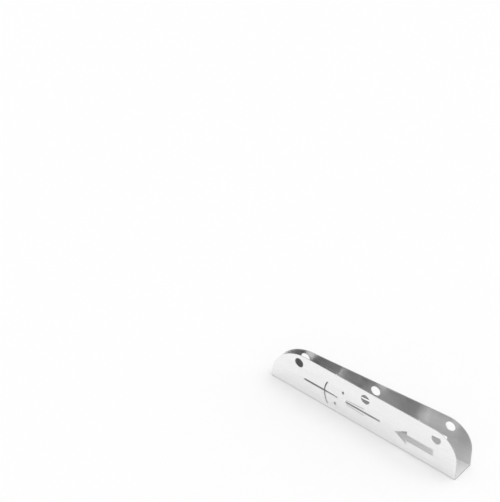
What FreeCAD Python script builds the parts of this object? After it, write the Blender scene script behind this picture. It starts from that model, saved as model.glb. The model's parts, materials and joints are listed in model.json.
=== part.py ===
import FreeCAD, Part
import math
import os

import Sketcher

# Bike stand: a tapered steel channel that wedges a wheel between its two side plates.
# Frame: +X points to the wide entry end, +Z is up, the floor is Z = 0 and the origin is
# the middle of the footprint. The wheel is pushed in from +X, towards the nose at -X.

LOCK_HOLES = 3
ANCHOR_HOLES = 2

# Driving dimensions in millimetres, and what each one measures.
SIZES = {
    "plate_length": (700, "side plate, along its own length"),
    "stand_height": (140, "floor to the top edge of the side plates"),
    "plate_thickness": (2, "sheet thickness of all three plates"),
    "gap_entry": (78, "clear width between the side plates at the entry end"),
    "gap_nose": (20, "clear width between the side plates at the nose end"),
    "entry_radius": (85, "rounded top corner of the side plates at the entry end"),
    "lock_hole_diameter": (32, "holes that a lock is passed through"),
    "lock_hole_below_top": (32, "top edge to the centres of the lock holes"),
    "lock_hole_from_entry": (75.5, "entry end to the nearest lock hole"),
    "lock_hole_from_nose": (111, "nose end to the nearest lock hole"),
    "anchor_hole_diameter": (11, "clearance holes for M10 floor anchors"),
    "anchor_hole_from_entry": (50, "entry end to the nearest anchor hole"),
    "anchor_row_length": (360, "first to last anchor hole"),
    "arrow_from_entry": (82, "entry end to the arrow's tail"),
    "arrow_length": (138, "arrow, tail to tip"),
    "arrow_head_length": (44, "arrow head along the plate"),
    "arrow_head_width": (50, "arrow head across its barbs"),
    "arrow_shaft_width": (22, "arrow shaft"),
    "arrow_height": (53, "floor to the arrow's middle line"),
    "figure_height": (58, "floor to the bicycle figure's middle line"),
    "figure_from_arrow": (54, "arrow's tip to the rear end of the bicycle figure"),
    "wheel_slot_width": (7, "both wheels of the figure"),
    "front_wheel_length": (93, "front wheel of the figure, seen from above"),
    "frame_bar_length": (38, "frame bar behind the front wheel"),
    "frame_bar_width": (5, "frame bar"),
    "handlebar_from_front": (81, "front of the front wheel to the middle of the handlebar"),
    "handlebar_radius": (72, "bow of the handlebar's middle line"),
    "handlebar_angle": (37, "half of the angle that the handlebar's bow spans, degrees"),
    "handlebar_width": (4.5, "handlebar stroke"),
    "pedals_from_front": (137, "front of the front wheel to the middle between the pedals"),
    "pedal_lead": (14, "how far each pedal is ahead of or behind that middle"),
    "pedal_spread": (28, "middle line to the centre of a pedal"),
    "pedal_length": (11, "pedal across the figure"),
    "pedal_width": (8, "pedal along the figure"),
    "rear_wheel_from_front": (162, "front of the front wheel to the front of the rear wheel"),
    "rear_wheel_length": (131, "rear wheel of the figure"),
    "saddle_from_front": (166, "front of the front wheel to the saddle's nose"),
    "saddle_length": (66, "saddle along the figure"),
    "saddle_nose_spread": (8, "middle line to the saddle's edge line at its nose"),
    "saddle_tail_spread": (12, "middle line to the saddle's edge line at its tail"),
    "saddle_line_width": (1.6, "edge lines of the saddle"),
}


class Size:
    """A measure: its number at these sizes, and the sheet expression that it follows."""

    def __init__(self, number, text):
        self.number = number
        self.text = text

    def combine(self, other, sign, operation):
        other = as_size(other)
        return Size(operation(self.number, other.number), f"({self.text} {sign} {other.text})")

    def __add__(self, other):
        return self.combine(other, "+", lambda a, b: a + b)

    def __sub__(self, other):
        return self.combine(other, "-", lambda a, b: a - b)

    def __mul__(self, other):
        return self.combine(other, "*", lambda a, b: a * b)

    def __truediv__(self, other):
        return self.combine(other, "/", lambda a, b: a / b)

    def __neg__(self):
        return Size(-self.number, f"(-1 * {self.text})")


HALF_TURN = Size(180, "180 deg")
SKETCH_UPRIGHT = FreeCAD.Vector(0, 1, 0)


def as_size(value):
    return value if isinstance(value, Size) else Size(value, str(value))


def root(size):
    return Size(math.sqrt(size.number), f"sqrt({size.text})")


def sine(degrees):
    return Size(math.sin(math.radians(degrees.number)), f"sin({degrees.text})")


def cosine(degrees):
    return Size(math.cos(math.radians(degrees.number)), f"cos({degrees.text})")


def make_sheet(document):
    """The spreadsheet of driving dimensions, and a Size for each of its cells."""
    sheet = document.addObject("Spreadsheet::Sheet", "Sizes")
    sizes = {}
    for row, (alias, (number, meaning)) in enumerate(SIZES.items(), start=1):
        sheet.set(f"A{row}", meaning)
        sheet.set(f"B{row}", str(number))
        sheet.setAlias(f"B{row}", alias)
        sizes[alias] = Size(number, f"Sizes.{alias}")
    document.recompute()
    return sizes


def origin_feature(body, role):
    return next(item for item in body.Origin.OriginFeatures if item.Role == role)


def add_sketch(body, name, plane):
    sketch = body.newObject("Sketcher::SketchObject", name)
    sketch.AttachmentSupport = (origin_feature(body, plane), "")
    sketch.MapMode = "FlatFace"
    return sketch


def vector(point):
    return FreeCAD.Vector(point[0].number, point[1].number, 0)


def constrain(sketch, kind, *where, size):
    index = sketch.addConstraint(Sketcher.Constraint(kind, *where, size.number))
    sketch.setExpression(f"Constraints[{index}]", size.text)


def place(sketch, edge, vertex, point):
    """Hold one vertex of an edge at a point given by two sizes."""
    constrain(sketch, "DistanceX", edge, vertex, size=point[0])
    constrain(sketch, "DistanceY", edge, vertex, size=point[1])


def arc_between(start, end, radius, turn):
    """Arc under a half circle; turn is 1 if it runs counter-clockwise and -1 if clockwise."""
    chord = end - start
    bow = math.sqrt(radius ** 2 - (chord.Length / 2) ** 2)
    across = FreeCAD.Vector(-chord.y, chord.x, 0) / chord.Length
    centre = (start + end) / 2 + across * bow * turn
    circle = Part.Circle(centre, FreeCAD.Vector(0, 0, 1), radius)
    first, last = (start, end) if turn > 0 else (end, start)
    return Part.ArcOfCircle(circle, circle.parameter(first), circle.parameter(last))


def draw_outline(sketch, corners, arcs=None):
    """Closed outline. arcs maps a corner's index to (radius, turn) for the edge after it."""
    arcs = arcs or {}
    ends = []
    for index, corner in enumerate(corners):
        start = vector(corner)
        end = vector(corners[(index + 1) % len(corners)])
        if index in arcs:
            radius, turn = arcs[index]
            edge = sketch.addGeometry(arc_between(start, end, radius.number, turn))
            ends.append((edge, 1, 2) if turn > 0 else (edge, 2, 1))
        else:
            edge = sketch.addGeometry(Part.LineSegment(start, end))
            ends.append((edge, 1, 2))
    for index, (edge, first, last) in enumerate(ends):
        following = ends[(index + 1) % len(ends)]
        sketch.addConstraint(Sketcher.Constraint("Coincident", edge, last, following[0], following[1]))
        place(sketch, edge, first, corners[index])
        if index in arcs:
            constrain(sketch, "Radius", edge, size=arcs[index][0])


def draw_slot(sketch, first, last, width):
    """Slot with round ends, its end centres at first and last."""
    radius = width / 2
    along = vector(last) - vector(first)
    side = FreeCAD.Vector(-along.y, along.x, 0) / along.Length * radius.number
    near_a, near_b = vector(first) - side, vector(last) - side
    far_a, far_b = vector(first) + side, vector(last) + side
    heading = math.atan2(along.y, along.x)
    quarter = math.pi / 2
    flat = FreeCAD.Vector(0, 0, 1)
    end_b = Part.Circle(vector(last), flat, radius.number)
    end_a = Part.Circle(vector(first), flat, radius.number)
    lower = sketch.addGeometry(Part.LineSegment(near_a, near_b))
    cap_b = sketch.addGeometry(Part.ArcOfCircle(end_b, heading - quarter, heading + quarter))
    upper = sketch.addGeometry(Part.LineSegment(far_b, far_a))
    cap_a = sketch.addGeometry(Part.ArcOfCircle(end_a, heading + quarter, heading + 3 * quarter))
    ring = [lower, cap_b, upper, cap_a]
    for index, edge in enumerate(ring):
        following = ring[(index + 1) % len(ring)]
        sketch.addConstraint(Sketcher.Constraint("Tangent", edge, 2, following, 1))
    sketch.addConstraint(Sketcher.Constraint("Equal", cap_a, cap_b))
    place(sketch, cap_a, 3, first)
    place(sketch, cap_b, 3, last)
    constrain(sketch, "Radius", cap_a, size=radius)


def draw_circle(sketch, centre, diameter):
    ring = sketch.addGeometry(Part.Circle(vector(centre), FreeCAD.Vector(0, 0, 1), diameter.number / 2))
    place(sketch, ring, 3, centre)
    constrain(sketch, "Diameter", ring, size=diameter)


def pad(body, sketch, name, length, side_type):
    feature = body.newObject("PartDesign::Pad", name)
    feature.Profile = sketch
    feature.SideType = side_type
    feature.setExpression("Length", length.text)
    return feature


def cut_through(body, sketch, name):
    """Pocket that goes through the plate on both sides of its sketch."""
    feature = body.newObject("PartDesign::Pocket", name)
    feature.Profile = sketch
    feature.SideType = "Symmetric"
    feature.Type = "ThroughAll"
    return feature


def repeat_to_nose(body, feature, name, count, row_length):
    """Repeat a cut along -X, count times over a row of the given length."""
    pattern = body.newObject("PartDesign::LinearPattern", name)
    pattern.Originals = [feature]
    pattern.Direction = (origin_feature(body, "X_Axis"), [""])
    pattern.Reversed = True
    pattern.Mode = "Extent"
    pattern.Occurrences = count
    pattern.setExpression("Length", row_length.text)
    body.Tip = pattern


def set_place(body, across, turn):
    """Stand a piece at a distance across the stand, turned about the vertical."""
    body.setExpression("Placement.Base.y", across.text)
    body.setExpression("Placement.Rotation.Angle", turn.text)


def taper(sizes):
    """Sine and cosine of the angle between a side plate and the stand's middle plane."""
    lean = (sizes["gap_entry"] - sizes["gap_nose"]) / (sizes["plate_length"] * 2)
    return lean, root(as_size(1) - lean * lean)


def taper_angle(sizes):
    lean, _ = taper(sizes)
    return Size(math.degrees(math.asin(lean.number)), f"asin({lean.text})")


def plate_offset(sizes):
    """Middle plane of the stand to the middle of a side plate's thickness."""
    _, upright = taper(sizes)
    return (sizes["gap_entry"] + sizes["gap_nose"]) / 4 + sizes["plate_thickness"] / 2 * upright


def draw_profile(sketch, sizes):
    """Side plate outline: a quarter circle over the whole height forms the nose."""
    end = sizes["plate_length"] / 2
    bottom = sizes["plate_thickness"]
    top = sizes["stand_height"]
    nose_radius = top - bottom
    entry_radius = sizes["entry_radius"]
    corners = [
        (-end, bottom),
        (end, bottom),
        (end, top - entry_radius),
        (end - entry_radius, top),
        (nose_radius - end, top),
    ]
    draw_outline(sketch, corners, {2: (entry_radius, 1), 4: (nose_radius, 1)})


def cut_lock_holes(body, sizes, side):
    """Lock holes run straight across the stand, so that those of the two plates line up."""
    sketch = add_sketch(body, "lock_hole_sketch", "XZ_Plane")
    sketch.AttachmentOffset = FreeCAD.Placement(FreeCAD.Vector(), FreeCAD.Rotation(SKETCH_UPRIGHT, 1))
    sketch.setExpression("AttachmentOffset.Rotation.Angle", (taper_angle(sizes) * -side).text)
    _, upright = taper(sizes)
    centre = (
        sizes["plate_length"] / 2 * upright - sizes["lock_hole_from_entry"],
        sizes["stand_height"] - sizes["lock_hole_below_top"],
    )
    draw_circle(sketch, centre, sizes["lock_hole_diameter"])
    hole = cut_through(body, sketch, "lock_hole")
    row = sizes["plate_length"] - sizes["lock_hole_from_entry"] - sizes["lock_hole_from_nose"]
    repeat_to_nose(body, hole, "lock_hole_row", LOCK_HOLES, row)


def arrow_tail(sizes):
    return sizes["plate_length"] / 2 - sizes["arrow_from_entry"]


def arrow_tip(sizes):
    return arrow_tail(sizes) - sizes["arrow_length"]


def cut_arrow(body, sizes):
    """Arrow that points from the entry to the nose, the way the wheel is pushed in."""
    sketch = add_sketch(body, "arrow_sketch", "XZ_Plane")
    tail = arrow_tail(sizes)
    tip = arrow_tip(sizes)
    neck = tip + sizes["arrow_head_length"]
    middle = sizes["arrow_height"]
    barb = sizes["arrow_head_width"] / 2
    shaft = sizes["arrow_shaft_width"] / 2
    corners = [
        (tip, middle),
        (neck, middle - barb),
        (neck, middle - shaft),
        (tail, middle - shaft),
        (tail, middle + shaft),
        (neck, middle + shaft),
        (neck, middle + barb),
    ]
    draw_outline(sketch, corners)
    cut_through(body, sketch, "arrow")


def cut_slot(body, name, first, last, width):
    sketch = add_sketch(body, f"{name}_sketch", "XZ_Plane")
    draw_slot(sketch, first, last, width)
    cut_through(body, sketch, name)


def cut_handlebar(body, sizes, front, middle):
    """Bowed handlebar with square ends, its hollow side to the rear."""
    sketch = add_sketch(body, "handlebar_sketch", "XZ_Plane")
    radius = sizes["handlebar_radius"]
    outer = radius + sizes["handlebar_width"] / 2
    inner = radius - sizes["handlebar_width"] / 2
    centre = front + sizes["handlebar_from_front"] + radius
    ahead = cosine(sizes["handlebar_angle"])
    aside = sine(sizes["handlebar_angle"])
    corners = [
        (centre - outer * ahead, middle + outer * aside),
        (centre - outer * ahead, middle - outer * aside),
        (centre - inner * ahead, middle - inner * aside),
        (centre - inner * ahead, middle + inner * aside),
    ]
    draw_outline(sketch, corners, {0: (outer, 1), 2: (inner, -1)})
    cut_through(body, sketch, "handlebar")


def cut_bicycle(body, sizes):
    """Plain bicycle figure seen from above, ahead of the arrow, its front wheel towards the nose."""
    figure_length = sizes["rear_wheel_from_front"] + sizes["rear_wheel_length"]
    front = arrow_tip(sizes) - sizes["figure_from_arrow"] - figure_length
    middle = sizes["figure_height"]
    wheel = sizes["wheel_slot_width"]
    round_end = wheel / 2
    front_end = front + sizes["front_wheel_length"]
    cut_slot(body, "front_wheel", (front + round_end, middle), (front_end - round_end, middle), wheel)
    bar = sizes["frame_bar_width"]
    bar_end = front_end + sizes["frame_bar_length"] - bar / 2
    cut_slot(body, "frame_bar", (front_end - round_end, middle), (bar_end, middle), bar)
    cut_handlebar(body, sizes, front, middle)
    pedals = front + sizes["pedals_from_front"]
    reach = (sizes["pedal_length"] - sizes["pedal_width"]) / 2
    for name, side in (("pedal_ahead", -1), ("pedal_behind", 1)):
        along = pedals + sizes["pedal_lead"] * side
        across = middle + sizes["pedal_spread"] * side
        cut_slot(body, name, (along, across - reach), (along, across + reach), sizes["pedal_width"])
    rear = front + sizes["rear_wheel_from_front"]
    rear_end = rear + sizes["rear_wheel_length"]
    cut_slot(body, "rear_wheel", (rear + round_end, middle), (rear_end - round_end, middle), wheel)
    saddle = front + sizes["saddle_from_front"]
    saddle_end = saddle + sizes["saddle_length"]
    for name, side in (("saddle_edge_low", -1), ("saddle_edge_high", 1)):
        nose = (saddle, middle + sizes["saddle_nose_spread"] * side)
        tail = (saddle_end, middle + sizes["saddle_tail_spread"] * side)
        cut_slot(body, name, nose, tail, sizes["saddle_line_width"])


def make_side_plate(document, sizes, label, side):
    """Upright plate; side is -1 on the near side (-Y) and 1 on the far side."""
    body = document.addObject("PartDesign::Body", label)
    sketch = add_sketch(body, "profile_sketch", "XZ_Plane")
    draw_profile(sketch, sizes)
    pad(body, sketch, "plate", sizes["plate_thickness"], "Symmetric")
    document.recompute()
    cut_arrow(body, sizes)
    cut_bicycle(body, sizes)
    cut_lock_holes(body, sizes, side)
    set_place(body, plate_offset(sizes) * side, taper_angle(sizes) * side)
    return body


def make_base_plate(document, sizes):
    """Floor plate that fills the gap between the side plates' inner faces."""
    body = document.addObject("PartDesign::Body", "base_plate")
    lean, upright = taper(sizes)
    reach = sizes["plate_length"] / 2 * upright
    skew = sizes["plate_thickness"] / 2 * lean
    entry = reach + skew
    nose = skew - reach
    half_entry = sizes["gap_entry"] / 2
    half_nose = sizes["gap_nose"] / 2
    sketch = add_sketch(body, "floor_sketch", "XY_Plane")
    corners = [(nose, -half_nose), (entry, -half_entry), (entry, half_entry), (nose, half_nose)]
    draw_outline(sketch, corners)
    pad(body, sketch, "floor", sizes["plate_thickness"], "One side")
    document.recompute()
    holes = add_sketch(body, "anchor_hole_sketch", "XY_Plane")
    draw_circle(holes, (entry - sizes["anchor_hole_from_entry"], as_size(0)), sizes["anchor_hole_diameter"])
    hole = cut_through(body, holes, "anchor_hole")
    repeat_to_nose(body, hole, "anchor_hole_row", ANCHOR_HOLES, sizes["anchor_row_length"])
    return body


def make_corner_weld(document, sizes, label, side):
    """Corner weld, ground to a quarter round as thick as the plates that it joins."""
    body = document.addObject("PartDesign::Body", label)
    thickness = sizes["plate_thickness"]
    outer = -thickness / 2
    inner = thickness / 2
    sketch = add_sketch(body, "weld_sketch", "YZ_Plane")
    corners = [(outer, thickness), (inner, as_size(0)), (inner, thickness)]
    draw_outline(sketch, corners, {0: (thickness, 1)})
    pad(body, sketch, "weld", sizes["plate_length"], "Symmetric")
    angle = taper_angle(sizes) * side
    if side > 0:
        angle = angle + HALF_TURN
    set_place(body, plate_offset(sizes) * side, angle)
    return body


def check(document, pieces):
    """Stop if anything failed to build, or if a cut took nothing away."""
    for item in document.Objects:
        if "Invalid" in item.State or "Error" in item.State:
            raise RuntimeError(f"{item.Label} failed: {item.State}")
        base = getattr(item, "BaseFeature", None)
        if item.isDerivedFrom("PartDesign::Pocket") and item.Shape.Volume >= base.Shape.Volume:
            raise RuntimeError(f"{item.Label} cuts nothing")
    for piece in pieces:
        if piece.Shape.isNull() or not piece.Shape.isValid() or len(piece.Shape.Solids) != 1:
            raise RuntimeError(f"{piece.Label} is not one valid solid")


def main():
    document = FreeCAD.newDocument("bike_stand")
    sizes = make_sheet(document)
    pieces = [
        make_side_plate(document, sizes, "near_side_plate", -1),
        make_side_plate(document, sizes, "far_side_plate", 1),
        make_base_plate(document, sizes),
        make_corner_weld(document, sizes, "near_corner_weld", -1),
        make_corner_weld(document, sizes, "far_corner_weld", 1),
    ]
    document.recompute()
    check(document, pieces)
    os.makedirs("parts", exist_ok=True)
    for piece in pieces:
        piece.Shape.exportStep(f"parts/{piece.Label}.step")
        box = piece.Shape.BoundBox
        print(piece.Label, f"{piece.Shape.Volume:.0f} mm3", box)


main()
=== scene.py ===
import json
import math

import bpy
from bpy.props import FloatProperty, FloatVectorProperty, PointerProperty
from mathutils import Euler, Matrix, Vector


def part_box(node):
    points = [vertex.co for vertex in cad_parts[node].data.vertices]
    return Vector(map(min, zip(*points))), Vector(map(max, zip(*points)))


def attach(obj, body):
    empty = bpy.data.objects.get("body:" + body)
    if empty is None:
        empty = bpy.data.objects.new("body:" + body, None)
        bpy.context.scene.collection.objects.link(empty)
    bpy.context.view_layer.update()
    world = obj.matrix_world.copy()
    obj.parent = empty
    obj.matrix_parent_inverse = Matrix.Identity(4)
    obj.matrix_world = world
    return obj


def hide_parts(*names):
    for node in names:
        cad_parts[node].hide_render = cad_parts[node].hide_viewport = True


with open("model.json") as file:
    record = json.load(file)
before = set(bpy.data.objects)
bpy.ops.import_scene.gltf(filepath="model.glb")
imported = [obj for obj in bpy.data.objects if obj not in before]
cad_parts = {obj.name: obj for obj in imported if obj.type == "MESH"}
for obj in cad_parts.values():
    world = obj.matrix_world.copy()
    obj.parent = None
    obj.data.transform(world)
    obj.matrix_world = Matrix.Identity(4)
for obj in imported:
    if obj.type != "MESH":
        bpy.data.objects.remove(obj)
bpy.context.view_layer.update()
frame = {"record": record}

bl_info = {
    "name": "Bike Stand",
    "version": (1, 0, 0),
    "blender": (4, 5, 0),
    "location": "View3D > Sidebar > Bike Stand",
    "description": "Dresses a tapered stainless steel wheel stand around its CAD frame",
    "category": "Add Mesh",
}

# The frame: +X points to the wide entry end, +Z is up, the near side plate is on -Y.
# All lengths are in metres. A sheet is drawn flat, with u along it and v up from the floor.

BODY = "root"
NEAR = -1
FAR = 1
BASE_LOW, BASE_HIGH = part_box("base_plate")
NEAR_LOW, NEAR_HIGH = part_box("near_side_plate")
MOUNTS = {mount["name"]: mount for mount in frame["record"]["mounts"]}

THICKNESS = BASE_HIGH.z
HEIGHT = NEAR_HIGH.z
HALF_ENTRY = BASE_HIGH.y
HALF_NOSE = -NEAR_HIGH.y
RUN = BASE_HIGH.x - BASE_LOW.x
LEAN = math.atan2(HALF_ENTRY - HALF_NOSE, RUN)
LENGTH = RUN / math.cos(LEAN)
PLATE_OFFSET = (HALF_ENTRY + HALF_NOSE) / 2 + THICKNESS / 2 * math.cos(LEAN)

MM = 0.001
QUARTER_TURN = math.pi / 2
LOCK_HOLES = 3
HOLE_STEPS = 96
EDGE_STEPS = 3
ROUND_TOLERANCE = 0.01 * MM
MERGE_DISTANCE = 0.001 * MM
SHARP_ANGLE = math.radians(30)
ROUNDED_EDGES = "bevel_weight_edge"
GRAIN_MAP = "grain"

# Sizes of the marks on the steel, in millimetres along x, y and z
BRUSH_LINE = (400, 60, 1.6)
BRUSH_CLOUD = (140, 60, 40)
ROLLED_LINE = (120, 1.5, 60)
LASER_MARK = (0.7, 25, 0.7)
SHEAR_MARK = (0.7, 0.7, 25)
GRINDING_SCRATCH = (0.9, 12, 12)

# Sockets of a colour Mix node, which shares their names with its other data types
MIX_FACTOR = 0
MIX_FROM = 6
MIX_TO = 7
MIX_RESULT = 2


def linear(hex_colour):
    """An sRGB hex colour as linear red, green and blue, with full alpha."""
    parts = [int(hex_colour[start:start + 2], 16) / 255 for start in (1, 3, 5)]
    return [c / 12.92 if c <= 0.04045 else ((c + 0.055) / 1.055) ** 2.4 for c in parts] + [1.0]


def per_metre(mark_size):
    """Mapping scale of a pattern whose marks have these sizes in millimetres."""
    return [1 / (millimetres * MM) for millimetres in mark_size]


def length(name, description, millimetres):
    return FloatProperty(
        name=name, description=description, default=millimetres * MM, unit="LENGTH", precision=4
    )


def colour(name, description, hex_colour):
    return FloatVectorProperty(
        name=name,
        description=description,
        default=linear(hex_colour),
        size=4,
        min=0,
        max=1,
        subtype="COLOR",
    )


def angle(name, description, degrees):
    return FloatProperty(
        name=name, description=description, default=math.radians(degrees), subtype="ANGLE"
    )


def brightness(name, description, strength):
    return FloatProperty(name=name, description=description, default=strength, min=0)


class SheetSettings(bpy.types.PropertyGroup):
    """Sizes of the steel sheets that the frame's boxes don't give."""

    entry_radius: length("Entry corner", "Rounded top corner of a side plate at the entry end", 85)
    plate_edge: length("Plate edge", "Rounding of the deburred edges of the side plates", 0.35)
    anchor_rim: length("Anchor hole rim", "Rounding of the rims of the anchor holes", 0.8)
    weld_step: length("Weld step", "Distance between the weld's cross-sections", 2.5)
    weld_wave_length: length("Weld wave", "How far apart the grinder's waves are", 14)
    weld_wave_depth: length("Weld wave depth", "How deep the grinder's waves are", 0.08)


class SignSettings(bpy.types.PropertyGroup):
    """Sizes of the arrow and of the bicycle figure that are cut through the side plates."""

    arrow_from_entry: length("Arrow place", "Entry end to the arrow's tail", 82)
    arrow_length: length("Arrow length", "Tail to tip", 138)
    arrow_head_length: length("Arrow head length", "Head along the plate", 44)
    arrow_head_width: length("Arrow head width", "Head across its barbs", 50)
    arrow_shaft_width: length("Arrow shaft width", "Shaft across", 22)
    arrow_height: length("Arrow height", "Floor to the arrow's middle line", 53)
    figure_from_arrow: length("Figure place", "Arrow's tip to the rear end of the figure", 54)
    figure_height: length("Figure height", "Floor to the figure's middle line", 58)
    wheel_width: length("Wheel width", "Slots of both wheels", 7)
    front_wheel_length: length("Front wheel length", "Slot of the front wheel", 93)
    bar_length: length("Frame bar length", "Frame bar behind the front wheel", 38)
    bar_width: length("Frame bar width", "Slot of the frame bar", 5)
    handlebar_from_front: length("Handlebar place", "Front of the figure to the handlebar's middle", 81)
    handlebar_radius: length("Handlebar bow", "Radius of the handlebar's middle line", 72)
    handlebar_width: length("Handlebar width", "Slot of the handlebar", 4.5)
    handlebar_reach: angle("Handlebar reach", "Half of the angle that the handlebar's bow spans", 37)
    pedals_from_front: length("Pedals place", "Front of the figure to midway between the pedals", 137)
    pedal_lead: length("Pedal lead", "How far each pedal is ahead of or behind that middle", 14)
    pedal_spread: length("Pedal spread", "Middle line to the centre of a pedal", 28)
    pedal_length: length("Pedal length", "Pedal across the figure", 11)
    pedal_width: length("Pedal width", "Pedal along the figure", 8)
    rear_wheel_from_front: length("Rear wheel place", "Front of the figure to the rear wheel", 162)
    rear_wheel_length: length("Rear wheel length", "Slot of the rear wheel", 131)
    saddle_from_front: length("Saddle place", "Front of the figure to the saddle's nose", 166)
    saddle_length: length("Saddle length", "Saddle along the figure", 66)
    saddle_nose_spread: length("Saddle nose", "Middle line to the saddle's edge line at its nose", 8)
    saddle_tail_spread: length("Saddle tail", "Middle line to the saddle's edge line at its tail", 12)
    saddle_line_width: length("Saddle line width", "Edge lines of the saddle", 1.6)


class FinishSettings(bpy.types.PropertyGroup):
    """Colours of the steel."""

    outer_sheet: colour("Outer sheet", "Bright brushed outer faces of the side plates", "#FCFCFC")
    outer_line: colour("Outer brush lines", "Darker lines of the outer faces", "#ECECEC")
    # The inner faces are the same sheet as the outer faces, painted a shade darker: painted shade for
    # the dim inside of the channel.
    shaded_inner_sheet: colour("Inner sheet", "Brushed inner faces of the side plates", "#EEEEEE")
    shaded_inner_line: colour("Inner brush lines", "Darker lines of the inner faces", "#DADADA")
    floor_plate: colour("Satin sheet", "Floor plate between the side plates", "#FAFAFA")
    floor_plate_line: colour("Satin lines", "Darker lines of the floor plate", "#ECECEC")
    laser_edge: colour("Laser cut edge", "Edges and cut-outs of the side plates, deburred", "#CCCCCC")
    laser_mark: colour("Laser marks", "Darker marks that the laser left on the edges", "#BEBEBE")
    # The floor plate's cut edges are painted far darker than the laser cut edges: painted shade for the
    # contact shadow along the floor plate's edges.
    sheared_edge_and_shade: colour("Sheared edge", "Edges and holes of the floor plate, left as cut", "#808080")
    shear_mark_and_shade: colour("Shear marks", "Darker marks that the shear left on the edges", "#707070")
    # The weld tones are painted darker than the sheets: painted shade for the thin dark contact line
    # along the foot of the side plates. The scratches are the weld's own marks.
    weld: colour("Ground weld", "Corner welds, ground to a round", "#D6D6D6")
    shaded_weld_scratch: colour("Weld scratches", "Darker scratches of the grinding disc", "#A8A8A8")


class StageSettings(bpy.types.PropertyGroup):
    """Floor, light and camera."""

    floor: colour("Floor", "Plain pale studio floor", "#FDFDFD")
    floor_size: length("Floor size", "Side of the square floor", 80000)
    wall_strength: brightness("Walls", "Soft light from low down, all round", 0.95)
    roof_over_nose: brightness("Roof over the nose", "Soft light from the nose side", 0.43)
    roof_over_entry: brightness("Roof over the entry", "Soft light from the entry side", 1.0)
    roof_rise: angle("Roof rise", "Height above the horizon where the walls become the roof", 22)
    top_strength: brightness("Top light", "Soft light from above", 0.92)
    top_spread: angle("Top light spread", "How wide the top light is, which softens its shadows", 65)
    top_to_far: angle("Top light to the far side", "How far the top light leans to the far side", 3)
    top_to_entry: angle("Top light to the entry", "How far the top light leans to the entry", 12)
    camera_place: FloatVectorProperty(
        name="Camera",
        description="Where the camera stands",
        default=(1.7404, -2.5948, 2.7139),
        subtype="XYZ",
        unit="LENGTH",
    )
    camera_heading: angle("Heading", "Camera's turn about the vertical", 40.153)
    camera_dip: angle("Dip", "How far the camera looks down", 34.056)
    lens: FloatProperty(
        name="Lens", description="Focal length in millimetres, on a 36 mm sensor", default=97.593
    )


def add_node(tree, kind, inputs=None, **settings):
    """Add a node with its settings. Each input gets a value, a link or a list of links."""
    node = tree.nodes.new(kind)
    for name, value in settings.items():
        setattr(node, name, value)
    for key, value in (inputs or {}).items():
        if isinstance(value, bpy.types.NodeSocket):
            tree.links.new(value, node.inputs[key])
        elif isinstance(value, list) and isinstance(value[0], bpy.types.NodeSocket):
            for source in value:
                tree.links.new(source, node.inputs[key])
        else:
            node.inputs[key].default_value = value
    return node


# Outlines


def arc(centre, radius, start, end):
    """Points along an arc between two angles in radians, close enough together to look round."""
    step = 2 * math.acos(1 - ROUND_TOLERANCE / radius)
    count = max(2, math.ceil(abs(end - start) / step))
    angles = [start + (end - start) * index / count for index in range(count + 1)]
    return [(centre[0] + radius * math.cos(a), centre[1] + radius * math.sin(a)) for a in angles]


def slot(first, last, width):
    """Outline of a slot with round ends whose end centres are first and last."""
    radius = width / 2
    heading = math.atan2(last[1] - first[1], last[0] - first[0])
    start = heading - QUARTER_TURN
    turned = heading + QUARTER_TURN
    return arc(last, radius, start, turned) + arc(first, radius, turned, turned + math.pi)


def side_outline(sheets):
    """Side plate: a quarter circle over the whole height forms the nose."""
    end = LENGTH / 2
    bottom = NEAR_LOW.z
    nose_radius = HEIGHT - bottom
    corner = sheets.entry_radius
    nose = arc((nose_radius - end, bottom), nose_radius, QUARTER_TURN, math.pi)
    entry = arc((end - corner, HEIGHT - corner), corner, 0, QUARTER_TURN)
    return [(end, bottom)] + entry + nose


def arrow_outline(signs):
    tail = LENGTH / 2 - signs.arrow_from_entry
    tip = tail - signs.arrow_length
    neck = tip + signs.arrow_head_length
    half = [
        (tail, signs.arrow_shaft_width / 2),
        (neck, signs.arrow_shaft_width / 2),
        (neck, signs.arrow_head_width / 2),
    ]
    upper = [(u, signs.arrow_height + v) for u, v in half]
    lower = [(u, signs.arrow_height - v) for u, v in reversed(half)]
    return upper + [(tip, signs.arrow_height)] + lower


def front_of_bicycle(signs, front):
    """Front wheel, handlebar and frame bar run into each other, so they share one outline."""
    middle = signs.figure_height
    wheel = signs.wheel_width / 2
    bar = signs.bar_width / 2
    wheel_end = front + signs.front_wheel_length
    bow = (front + signs.handlebar_from_front + signs.handlebar_radius, middle)
    outer = signs.handlebar_radius + signs.handlebar_width / 2
    inner = signs.handlebar_radius - signs.handlebar_width / 2
    tip = math.pi - signs.handlebar_reach
    upper = arc((front + wheel, middle), wheel, math.pi, QUARTER_TURN)
    upper += arc(bow, outer, math.pi - math.asin(wheel / outer), tip)
    upper += arc(bow, inner, tip, math.pi - math.asin(wheel / inner))
    upper += arc((wheel_end - wheel, middle), wheel, QUARTER_TURN, math.asin(bar / wheel))
    upper += arc((wheel_end + signs.bar_length - bar, middle), bar, QUARTER_TURN, 0)
    lower = [(u, 2 * middle - v) for u, v in reversed(upper[1:-1])]
    return upper + lower


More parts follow.
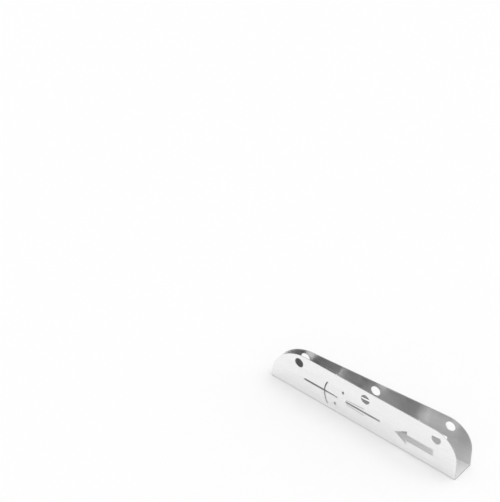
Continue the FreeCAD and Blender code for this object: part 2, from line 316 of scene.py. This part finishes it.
def bicycle_outlines(signs):
    """Plain bicycle figure seen from above, its front wheel towards the nose."""
    middle = signs.figure_height
    wheel = signs.wheel_width
    rear_end = LENGTH / 2 - signs.arrow_from_entry - signs.arrow_length - signs.figure_from_arrow
    front = rear_end - signs.rear_wheel_length - signs.rear_wheel_from_front
    rear = front + signs.rear_wheel_from_front
    outlines = [
        front_of_bicycle(signs, front),
        slot((rear + wheel / 2, middle), (rear_end - wheel / 2, middle), wheel),
    ]
    reach = (signs.pedal_length - signs.pedal_width) / 2
    saddle = front + signs.saddle_from_front
    for side in (-1, 1):
        along = front + signs.pedals_from_front + side * signs.pedal_lead
        across = middle + side * signs.pedal_spread
        outlines.append(slot((along, across - reach), (along, across + reach), signs.pedal_width))
        nose = (saddle, middle + side * signs.saddle_nose_spread)
        tail = (saddle + signs.saddle_length, middle + side * signs.saddle_tail_spread)
        outlines.append(slot(nose, tail, signs.saddle_line_width))
    return outlines


# Steel shapes


def wire_object(name, outlines):
    """An object whose mesh holds nothing but closed outlines, for a tree to fill or sweep."""
    corners = []
    edges = []
    for outline in outlines:
        first = len(corners)
        count = len(outline)
        corners += [(u, v, 0) for u, v in outline]
        edges += [(first + index, first + (index + 1) % count) for index in range(count)]
    mesh = bpy.data.meshes.new(name)
    mesh.from_pydata(corners, edges, [])
    made = bpy.data.objects.new(name, mesh)
    bpy.context.scene.collection.objects.link(made)
    return made


def new_tree(name, inputs):
    """An empty geometry tree with the named inputs, and the sockets that carry them."""
    tree = bpy.data.node_groups.new(name, "GeometryNodeTree")
    for socket, kind in inputs.items():
        tree.interface.new_socket(socket, in_out="INPUT", socket_type=kind)
    tree.interface.new_socket("Geometry", in_out="OUTPUT", socket_type="NodeSocketGeometry")
    return tree, add_node(tree, "NodeGroupInput").outputs


def pierced_sheet_tree():
    """Steel sheet: outlines and a row of round holes are filled, thickened and put in place. Rims of
    holes and sharp edges above the seam height are marked for rounding, and the rest stay sharp."""
    tree, given = new_tree("Pierced Sheet", {
        "Outlines": "NodeSocketGeometry",
        "Hole Count": "NodeSocketInt",
        "Hole Radius": "NodeSocketFloat",
        "First Hole": "NodeSocketVector",
        "Hole Step": "NodeSocketVector",
        "Thickness": "NodeSocketFloat",
        "Seam Height": "NodeSocketFloat",
        "Turn": "NodeSocketRotation",
        "Place": "NodeSocketVector",
        "Top": "NodeSocketMaterial",
        "Underside": "NodeSocketMaterial",
        "Edge": "NodeSocketMaterial",
    })
    row = add_node(tree, "GeometryNodeMeshLine", {
        "Count": given["Hole Count"],
        "Start Location": given["First Hole"],
        "Offset": given["Hole Step"],
    })
    ring = add_node(tree, "GeometryNodeCurvePrimitiveCircle", {
        "Resolution": HOLE_STEPS,
        "Radius": given["Hole Radius"],
    })
    holes = add_node(tree, "GeometryNodeInstanceOnPoints", {
        "Points": row.outputs["Mesh"],
        "Instance": ring.outputs["Curve"],
    })
    rings = add_node(tree, "GeometryNodeRealizeInstances", {"Geometry": holes.outputs["Instances"]})
    wires = add_node(tree, "GeometryNodeMeshToCurve", {"Mesh": given["Outlines"]})
    drawn = add_node(tree, "GeometryNodeJoinGeometry", {
        "Geometry": [wires.outputs["Curve"], rings.outputs["Geometry"]],
    })
    filled = add_node(tree, "GeometryNodeFillCurve", {
        "Curve": drawn.outputs["Geometry"],
    }, mode="NGONS")
    thick = add_node(tree, "GeometryNodeExtrudeMesh", {
        "Mesh": filled.outputs["Mesh"],
        "Offset Scale": given["Thickness"],
        "Individual": False,
    })
    under = add_node(tree, "GeometryNodeFlipFaces", {"Mesh": filled.outputs["Mesh"]})
    closed = add_node(tree, "GeometryNodeJoinGeometry", {
        "Geometry": [thick.outputs["Mesh"], under.outputs["Mesh"]],
    })
    merged = add_node(tree, "GeometryNodeMergeByDistance", {
        "Geometry": closed.outputs["Geometry"],
        "Distance": MERGE_DISTANCE,
    })
    height = add_node(tree, "ShaderNodeSeparateXYZ", {
        "Vector": add_node(tree, "GeometryNodeInputPosition").outputs["Position"],
    })
    above = add_node(tree, "FunctionNodeCompare", {
        "A": height.outputs["Y"],
        "B": given["Seam Height"],
    }, operation="GREATER_THAN")
    sharp = add_node(tree, "FunctionNodeCompare", {
        "A": add_node(tree, "GeometryNodeInputMeshEdgeAngle").outputs["Unsigned Angle"],
        "B": SHARP_ANGLE,
    }, operation="GREATER_THAN")
    to_hole = add_node(tree, "GeometryNodeProximity", {
        "Geometry": row.outputs["Mesh"],
    }, target_element="POINTS")
    rim_reach = add_node(tree, "ShaderNodeMath", {
        0: given["Hole Radius"],
        1: given["Thickness"],
    }, operation="ADD")
    rim = add_node(tree, "FunctionNodeCompare", {
        "A": to_hole.outputs["Distance"],
        "B": rim_reach.outputs["Value"],
    }, operation="LESS_THAN")
    free = add_node(tree, "FunctionNodeBooleanMath", {
        0: above.outputs["Result"],
        1: rim.outputs["Result"],
    }, operation="OR")
    deburred = add_node(tree, "FunctionNodeBooleanMath", {
        0: sharp.outputs["Result"],
        1: free.outputs["Boolean"],
    }, operation="AND")
    marked = add_node(tree, "GeometryNodeStoreNamedAttribute", {
        "Geometry": merged.outputs["Geometry"],
        "Selection": deburred.outputs["Boolean"],
        "Name": ROUNDED_EDGES,
        "Value": 1.0,
    }, data_type="FLOAT", domain="EDGE")
    seam = add_node(tree, "FunctionNodeBooleanMath", {
        0: sharp.outputs["Result"],
        1: free.outputs["Boolean"],
    }, operation="NIMPLY")
    smooth = add_node(tree, "GeometryNodeSetShadeSmooth", {"Geometry": marked.outputs["Geometry"]})
    creased = add_node(tree, "GeometryNodeSetShadeSmooth", {
        "Geometry": smooth.outputs["Geometry"],
        "Selection": seam.outputs["Boolean"],
        "Shade Smooth": False,
    }, domain="EDGE")
    placed = add_node(tree, "GeometryNodeTransform", {
        "Geometry": creased.outputs["Geometry"],
        "Translation": given["Place"],
        "Rotation": given["Turn"],
    })
    real = add_node(tree, "GeometryNodeRealizeInstances", {"Geometry": placed.outputs["Geometry"]})
    backed = add_node(tree, "GeometryNodeSetMaterial", {
        "Geometry": real.outputs["Geometry"],
        "Material": given["Underside"],
    })
    topped = add_node(tree, "GeometryNodeSetMaterial", {
        "Geometry": backed.outputs["Geometry"],
        "Selection": thick.outputs["Top"],
        "Material": given["Top"],
    })
    edged = add_node(tree, "GeometryNodeSetMaterial", {
        "Geometry": topped.outputs["Geometry"],
        "Selection": thick.outputs["Side"],
        "Material": given["Edge"],
    })
    add_node(tree, "NodeGroupOutput", {"Geometry": edged.outputs["Geometry"]})
    return tree


def ground_bead_tree():
    """Corner weld: its section is swept along the seam, and the grinder leaves it a little wavy."""
    tree, given = new_tree("Ground Bead", {
        "Section": "NodeSocketGeometry",
        "Start": "NodeSocketVector",
        "End": "NodeSocketVector",
        "Step": "NodeSocketFloat",
        "Wave Length": "NodeSocketFloat",
        "Wave Depth": "NodeSocketFloat",
        "Turn": "NodeSocketRotation",
        "Place": "NodeSocketVector",
        "Bead": "NodeSocketMaterial",
    })
    seam = add_node(tree, "GeometryNodeCurvePrimitiveLine", {
        "Start": given["Start"],
        "End": given["End"],
    })
    steps = add_node(tree, "GeometryNodeResampleCurve", {
        "Curve": seam.outputs["Curve"],
        "Length": given["Step"],
    }, mode="LENGTH")
    section = add_node(tree, "GeometryNodeMeshToCurve", {"Mesh": given["Section"]})
    swept = add_node(tree, "GeometryNodeCurveToMesh", {
        "Curve": steps.outputs["Curve"],
        "Profile Curve": section.outputs["Curve"],
        "Fill Caps": True,
    })
    place = add_node(tree, "GeometryNodeInputPosition").outputs["Position"]
    across_seam = (0, 1, 1)
    outward = add_node(tree, "ShaderNodeVectorMath", {0: place, 1: across_seam}, operation="MULTIPLY")
    direction = add_node(tree, "ShaderNodeVectorMath", {
        0: outward.outputs["Vector"],
    }, operation="NORMALIZE")
    scale = add_node(tree, "ShaderNodeMath", {0: 1.0, 1: given["Wave Length"]}, operation="DIVIDE")
    wave = add_node(tree, "ShaderNodeTexNoise", {
        "Vector": place,
        "Scale": scale.outputs["Value"],
        "Detail": 1.0,
    })
    depth = add_node(tree, "ShaderNodeMath", {
        0: wave.outputs["Fac"],
        1: given["Wave Depth"],
    }, operation="MULTIPLY")
    inward = add_node(tree, "ShaderNodeMath", {
        0: 0.0,
        1: depth.outputs["Value"],
    }, operation="SUBTRACT")
    shift = add_node(tree, "ShaderNodeVectorMath", {
        0: direction.outputs["Vector"],
        "Scale": inward.outputs["Value"],
    }, operation="SCALE")
    worn = add_node(tree, "GeometryNodeSetPosition", {
        "Geometry": swept.outputs["Mesh"],
        "Offset": shift.outputs["Vector"],
    })
    smooth = add_node(tree, "GeometryNodeSetShadeSmooth", {"Geometry": worn.outputs["Geometry"]})
    placed = add_node(tree, "GeometryNodeTransform", {
        "Geometry": smooth.outputs["Geometry"],
        "Translation": given["Place"],
        "Rotation": given["Turn"],
    })
    real = add_node(tree, "GeometryNodeRealizeInstances", {"Geometry": placed.outputs["Geometry"]})
    coated = add_node(tree, "GeometryNodeSetMaterial", {
        "Geometry": real.outputs["Geometry"],
        "Material": given["Bead"],
    })
    add_node(tree, "NodeGroupOutput", {"Geometry": coated.outputs["Geometry"]})
    return tree


def grow(piece, tree, values, edge_radius=0):
    """Run a tree on a piece, round the marked edges and keep the result as a plain mesh."""
    shape = piece.modifiers.new("Shape", "NODES")
    shape.node_group = tree
    for socket in tree.interface.items_tree:
        if socket.name in values:
            shape[socket.identifier] = values[socket.name]
    if edge_radius:
        rounded = piece.modifiers.new("Edges", "BEVEL")
        rounded.width = edge_radius
        rounded.segments = EDGE_STEPS
        rounded.limit_method = "WEIGHT"
        rounded.edge_weight = ROUNDED_EDGES
        rounded.use_clamp_overlap = False
        rounded.loop_slide = False
        rounded.harden_normals = True
    evaluated = piece.evaluated_get(bpy.context.evaluated_depsgraph_get())
    mesh = bpy.data.meshes.new_from_object(evaluated)
    mesh.name = piece.name
    piece.modifiers.clear()
    piece.data = mesh


def lay_grain(mesh, across, along):
    """A map of the faces in metres. Its first axis lies across the brush lines, where a brushed
    sheet draws out its reflections."""
    layer = mesh.uv_layers.new(name=GRAIN_MAP)
    for corner in mesh.loops:
        place = mesh.vertices[corner.vertex_index].co
        layer.data[corner.index].uv = (place.dot(across), place.dot(along))


def stand_for(piece, node):
    """Put a finished piece in the place of its CAD node."""
    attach(piece, BODY)
    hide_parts(node)


# Finishes


def new_metal(name):
    material = bpy.data.materials.new(name)
    material.use_nodes = True
    tree = material.node_tree
    shader = tree.nodes["Principled BSDF"]
    shader.inputs["Metallic"].default_value = 1.0
    return material, tree, shader


def mark_surface(tree, shader, marks, tones, roughness, relief=0.0, depth=0.0):
    """Marks of a finish. From 0 to 1 they change the tone and the roughness from the first to the
    second one, and they stand out by the given depth."""
    tone = add_node(tree, "ShaderNodeMix", {
        MIX_FACTOR: marks,
        MIX_FROM: tones[0],
        MIX_TO: tones[1],
    }, data_type="RGBA")
    gloss = add_node(tree, "ShaderNodeMapRange", {
        "Value": marks,
        "To Min": roughness[0],
        "To Max": roughness[1],
    })
    tree.links.new(tone.outputs[MIX_RESULT], shader.inputs["Base Color"])
    tree.links.new(gloss.outputs["Result"], shader.inputs["Roughness"])
    if relief:
        bump = add_node(tree, "ShaderNodeBump", {
            "Height": marks,
            "Strength": relief,
            "Distance": depth,
        })
        tree.links.new(bump.outputs["Normal"], shader.inputs["Normal"])


def brushed_sheet(name, tones, roughness, draw):
    """Stainless sheet, belt brushed along its length: long fine lines, a soft reflection drawn out
    across them and slow changes of gloss. Real lines are near 0.1 mm wide. The coarsest ones here
    are far wider, so that they show."""
    clouding = 0.08
    line_dullness = 0.12
    material, tree, shader = new_metal(name)
    place = add_node(tree, "ShaderNodeTexCoord").outputs["Object"]
    stretched = add_node(tree, "ShaderNodeMapping", {
        "Vector": place,
        "Scale": per_metre(BRUSH_LINE),
    })
    noise = add_node(tree, "ShaderNodeTexNoise", {
        "Vector": stretched.outputs["Vector"],
        "Scale": 1.0,
        "Detail": 5.0,
        "Roughness": 0.8,
    })
    lines = add_node(tree, "ShaderNodeMapRange", {
        "Value": noise.outputs["Fac"],
        "From Min": 0.3,
        "From Max": 0.7,
    })
    broad = add_node(tree, "ShaderNodeMapping", {
        "Vector": place,
        "Scale": per_metre(BRUSH_CLOUD),
    })
    cloud = add_node(tree, "ShaderNodeTexNoise", {
        "Vector": broad.outputs["Vector"],
        "Scale": 1.0,
        "Detail": 2.0,
    })
    smooth = add_node(tree, "ShaderNodeMapRange", {
        "Value": cloud.outputs["Fac"],
        "To Min": roughness,
        "To Max": roughness + clouding,
    })
    dull = add_node(tree, "ShaderNodeMath", {
        0: smooth.outputs["Result"],
        1: line_dullness,
    }, operation="ADD")
    span = (smooth.outputs["Result"], dull.outputs["Value"])
    mark_surface(tree, shader, lines.outputs["Result"], tones, span, relief=0.25, depth=0.02 * MM)
    shader.inputs["Anisotropic"].default_value = draw
    grain = add_node(tree, "ShaderNodeTangent", direction_type="UV_MAP", uv_map=GRAIN_MAP)
    tree.links.new(grain.outputs["Tangent"], shader.inputs["Tangent"])
    return material


def satin_sheet(finish):
    """Stainless sheet with a satin mill finish, dulled further by blasting. It scatters much of the
    light, so it is only partly metallic here, with faint rolling lines along it."""
    material, tree, shader = new_metal("satin stainless sheet")
    shader.inputs["Metallic"].default_value = 0.35
    rolled = add_node(tree, "ShaderNodeMapping", {
        "Vector": add_node(tree, "ShaderNodeTexCoord").outputs["Object"],
        "Scale": per_metre(ROLLED_LINE),
    })
    lines = add_node(tree, "ShaderNodeTexNoise", {
        "Vector": rolled.outputs["Vector"],
        "Scale": 1.0,
        "Detail": 3.0,
    })
    tones = (finish.floor_plate_line, finish.floor_plate)
    mark_surface(tree, shader, lines.outputs["Fac"], tones, roughness=(0.35, 0.5))
    return material


def cut_edge(name, tones, mark_size):
    """Edge of a stainless sheet, laser cut or sheared: greyer and duller than the faces, with fine
    marks straight across the sheet. Real marks are near 0.2 mm apart and are drawn wider so that
    they show."""
    material, tree, shader = new_metal(name)
    across = add_node(tree, "ShaderNodeMapping", {
        "Vector": add_node(tree, "ShaderNodeTexCoord").outputs["Object"],
        "Scale": per_metre(mark_size),
    })
    marks = add_node(tree, "ShaderNodeTexNoise", {
        "Vector": across.outputs["Vector"],
        "Scale": 1.0,
        "Detail": 3.0,
    })
    rough = (0.32, 0.5)
    mark_surface(tree, shader, marks.outputs["Fac"], tones, rough, relief=0.35, depth=0.03 * MM)
    return material


def ground_weld(finish):
    """Stainless weld metal, ground round with a disc: short scratches across the seam. Its tone is
    painted darker than the sheets, as painted shade for the thin dark line where the side plates meet
    the floor. The scratches are drawn wider than the grit cuts them, so that they show."""
    material, tree, shader = new_metal("ground stainless weld")
    across = add_node(tree, "ShaderNodeMapping", {
        "Vector": add_node(tree, "ShaderNodeTexCoord").outputs["Object"],
        "Scale": per_metre(GRINDING_SCRATCH),
    })
    scratches = add_node(tree, "ShaderNodeTexNoise", {
        "Vector": across.outputs["Vector"],
        "Scale": 1.0,
        "Detail": 4.0,
        "Distortion": 0.4,
    })
    tones = (finish.shaded_weld_scratch, finish.weld)
    rough = (0.28, 0.46)
    mark_surface(tree, shader, scratches.outputs["Fac"], tones, rough, relief=0.4, depth=0.04 * MM)
    return material


def studio_floor(stage):
    """Matt painted studio floor, plain and pale."""
    material = bpy.data.materials.new("matt studio floor")
    material.use_nodes = True
    shader = material.node_tree.nodes["Principled BSDF"]
    shader.inputs["Base Color"].default_value = stage.floor
    shader.inputs["Roughness"].default_value = 1.0
    shader.inputs["Specular IOR Level"].default_value = 0.0
    return material


def studio_sky(stage):
    """A pale studio. Its roof is bright over the entry and dim over the nose, so that the channel,
    which mirrors the dim side, shows its depth."""
    world = bpy.data.worlds.new("studio sky")
    world.use_nodes = True
    tree = world.node_tree
    towards = add_node(tree, "ShaderNodeSeparateXYZ", {
        "Vector": add_node(tree, "ShaderNodeTexCoord").outputs["Generated"],
    })
    roof = add_node(tree, "ShaderNodeMapRange", {
        "Value": towards.outputs["X"],
        "From Min": -1.0,
        "From Max": 1.0,
        "To Min": stage.roof_over_nose,
        "To Max": stage.roof_over_entry,
    })
    strength = add_node(tree, "ShaderNodeMapRange", {
        "Value": towards.outputs["Z"],
        "From Min": 0.0,
        "From Max": math.sin(stage.roof_rise),
        "To Min": stage.wall_strength,
        "To Max": roof.outputs["Result"],
    })
    background = tree.nodes["Background"]
    background.inputs["Color"].default_value = linear("#FFFFFF")
    tree.links.new(strength.outputs["Result"], background.inputs["Strength"])
    return world


# Operators


class BIKE_STAND_OT_side_plates(bpy.types.Operator):
    """Cut and stand up the two side plates with their lock holes, arrow and bicycle figure"""

    bl_idname = "bike_stand.side_plates"
    bl_label = "Side Plates"

    def execute(self, context):
        scene = context.scene
        outlines = [side_outline(scene.stand_sheets), arrow_outline(scene.stand_signs)]
        outlines += bicycle_outlines(scene.stand_signs)
        first, last = MOUNTS["lock_hole_entry"], MOUNTS["lock_hole_nose"]
        first_hole = Vector((first["pos_m"][0] / math.cos(LEAN), first["pos_m"][2], 0))
        last_hole = Vector((last["pos_m"][0] / math.cos(LEAN), last["pos_m"][2], 0))
        tree = pierced_sheet_tree()
        finish = scene.stand_finish
        outer_tones = (finish.outer_line, finish.outer_sheet)
        shaded_inner_tones = (finish.shaded_inner_line, finish.shaded_inner_sheet)
        edge_tones = (finish.laser_mark, finish.laser_edge)
        outside = brushed_sheet("bright brushed stainless sheet", outer_tones, roughness=0.14, draw=0.5)
        # The inside copy of the sheet is painted darker, as painted shade inside the channel. It is
        # also rougher and draws its reflections out further.
        shaded_inside = brushed_sheet("dull brushed stainless sheet", shaded_inner_tones, roughness=0.21, draw=0.8)
        edge = cut_edge("laser cut stainless edge", edge_tones, LASER_MARK)
        for side, name in ((NEAR, "near"), (FAR, "far")):
            turn = Euler((QUARTER_TURN, 0, side * LEAN))
            centre = Vector((0, side * PLATE_OFFSET, 0))
            half_thickness = Vector((0, 0, THICKNESS / 2))
            half_thickness.rotate(turn)
            plate = wire_object(f"{name}_brushed_plate", outlines)
            grow(plate, tree, {
                "Hole Count": LOCK_HOLES,
                "Hole Radius": first["dims"]["r_mm"] * MM,
                "First Hole": first_hole,
                "Hole Step": (last_hole - first_hole) / (LOCK_HOLES - 1),
                "Thickness": THICKNESS,
                "Seam Height": NEAR_LOW.z + MERGE_DISTANCE,
                "Turn": turn,
                "Place": centre - half_thickness,
                "Top": outside if side == NEAR else shaded_inside,
                "Underside": shaded_inside if side == NEAR else outside,
                "Edge": edge,
            }, scene.stand_sheets.plate_edge)
            along = Vector((math.cos(LEAN), side * math.sin(LEAN), 0))
            lay_grain(plate.data, Vector((0, 0, 1)), along)
            stand_for(plate, f"{name}_side_plate")
        return {"FINISHED"}


class BIKE_STAND_OT_floor_plate(bpy.types.Operator):
    """Lay the tapered floor plate with its anchor holes"""

    bl_idname = "bike_stand.floor_plate"
    bl_label = "Floor Plate"

    def execute(self, context):
        scene = context.scene
        outline = [
            (BASE_LOW.x, -HALF_NOSE),
            (BASE_HIGH.x, -HALF_ENTRY),
            (BASE_HIGH.x, HALF_ENTRY),
            (BASE_LOW.x, HALF_NOSE),
        ]
        anchors = MOUNTS["anchor_holes"]
        spacing = anchors["dims"]["spacing_x_mm"] * MM
        finish = scene.stand_finish
        # These edge tones are painted dark, as painted shade for the contact shadow along the floor
        # plate's edges.
        edge_tones = (finish.shear_mark_and_shade, finish.sheared_edge_and_shade)
        satin = satin_sheet(finish)
        edge = cut_edge("sheared stainless edge", edge_tones, SHEAR_MARK)
        plate = wire_object("satin_floor_plate", [outline])
        grow(plate, pierced_sheet_tree(), {
            "Hole Count": anchors["dims"]["count"],
            "Hole Radius": anchors["dims"]["hole_r_mm"] * MM,
            "First Hole": Vector((anchors["pos_m"][0] + spacing / 2, 0, 0)),
            "Hole Step": Vector((-spacing, 0, 0)),
            "Thickness": THICKNESS,
            "Seam Height": HALF_ENTRY + MERGE_DISTANCE,
            "Top": satin,
            "Underside": satin,
            "Edge": edge,
        }, scene.stand_sheets.anchor_rim)
        stand_for(plate, "base_plate")
        return {"FINISHED"}


class BIKE_STAND_OT_corner_welds(bpy.types.Operator):
    """Run the ground corner welds that join the side plates to the floor plate"""

    bl_idname = "bike_stand.corner_welds"
    bl_label = "Corner Welds"

    def execute(self, context):
        scene = context.scene
        section = [(0, 0)] + arc((0, 0), THICKNESS, 0, QUARTER_TURN)
        tree = ground_bead_tree()
        # The bead's material is painted darker, as painted shade along the foot of the side plates.
        bead = ground_weld(scene.stand_finish)
        for side, name in ((NEAR, "near"), (FAR, "far")):
            weld = wire_object(f"{name}_ground_weld", [section])
            grow(weld, tree, {
                "Start": Vector((-LENGTH / 2, 0, 0)),
                "End": Vector((LENGTH / 2, 0, 0)),
                "Step": scene.stand_sheets.weld_step,
                "Wave Length": scene.stand_sheets.weld_wave_length,
                "Wave Depth": scene.stand_sheets.weld_wave_depth,
                "Turn": Euler((0, 0, side * LEAN + (math.pi if side == FAR else 0))),
                "Place": Vector((
                    THICKNESS / 2 * math.sin(LEAN),
                    side * (HALF_ENTRY + HALF_NOSE) / 2,
                    THICKNESS,
                )),
                "Bead": bead,
            })
            stand_for(weld, f"{name}_corner_weld")
        return {"FINISHED"}


class BIKE_STAND_OT_stage(bpy.types.Operator):
    """Set the pale floor, the soft light and the camera"""

    bl_idname = "bike_stand.stage"
    bl_label = "Stage"

    def execute(self, context):
        scene = context.scene
        stage = scene.stand_stage
        half = stage.floor_size / 2
        mesh = bpy.data.meshes.new("studio_floor")
        corners = [(-half, -half, 0), (half, -half, 0), (half, half, 0), (-half, half, 0)]
        mesh.from_pydata(corners, [], [(0, 1, 2, 3)])
        mesh.materials.append(studio_floor(stage))
        floor = bpy.data.objects.new("studio_floor", mesh)
        scene.collection.objects.link(floor)

        scene.world = studio_sky(stage)
        lamp = bpy.data.lights.new("top light", "SUN")
        lamp.energy = stage.top_strength
        lamp.angle = stage.top_spread
        top = bpy.data.objects.new("top light", lamp)
        top.rotation_euler = (-stage.top_to_far, stage.top_to_entry, 0)
        scene.collection.objects.link(top)

        view = bpy.data.cameras.new("camera")
        view.lens = stage.lens
        camera = bpy.data.objects.new("camera", view)
        camera.location = stage.camera_place
        camera.rotation_euler = (QUARTER_TURN - stage.camera_dip, 0, stage.camera_heading)
        scene.collection.objects.link(camera)
        scene.camera = camera
        scene.view_settings.view_transform = "Standard"
        return {"FINISHED"}


class BIKE_STAND_PT_panel(bpy.types.Panel):
    """Bike stand settings and the operators that build it"""

    bl_idname = "BIKE_STAND_PT_panel"
    bl_label = "Bike Stand"
    bl_space_type = "VIEW_3D"
    bl_region_type = "UI"
    bl_category = "Bike Stand"

    def draw(self, context):
        layout = self.layout
        for operator in OPERATORS:
            layout.operator(operator.bl_idname)
        for name in SETTINGS:
            box = layout.box()
            group = getattr(context.scene, name)
            for key in group.__annotations__:
                box.prop(group, key)


SETTINGS = {
    "stand_sheets": SheetSettings,
    "stand_signs": SignSettings,
    "stand_finish": FinishSettings,
    "stand_stage": StageSettings,
}
OPERATORS = (
    BIKE_STAND_OT_side_plates,
    BIKE_STAND_OT_floor_plate,
    BIKE_STAND_OT_corner_welds,
    BIKE_STAND_OT_stage,
)


def register():
    for name, group in SETTINGS.items():
        bpy.utils.register_class(group)
        setattr(bpy.types.Scene, name, PointerProperty(type=group))
    for operator in OPERATORS:
        bpy.utils.register_class(operator)
    bpy.utils.register_class(BIKE_STAND_PT_panel)


def unregister():
    bpy.utils.unregister_class(BIKE_STAND_PT_panel)
    for operator in reversed(OPERATORS):
        bpy.utils.unregister_class(operator)
    for name, group in SETTINGS.items():
        delattr(bpy.types.Scene, name)
        bpy.utils.unregister_class(group)


def main():
    register()
    bpy.ops.bike_stand.side_plates()
    bpy.ops.bike_stand.floor_plate()
    bpy.ops.bike_stand.corner_welds()
    bpy.ops.bike_stand.stage()


if __name__ == "__main__":
    main()
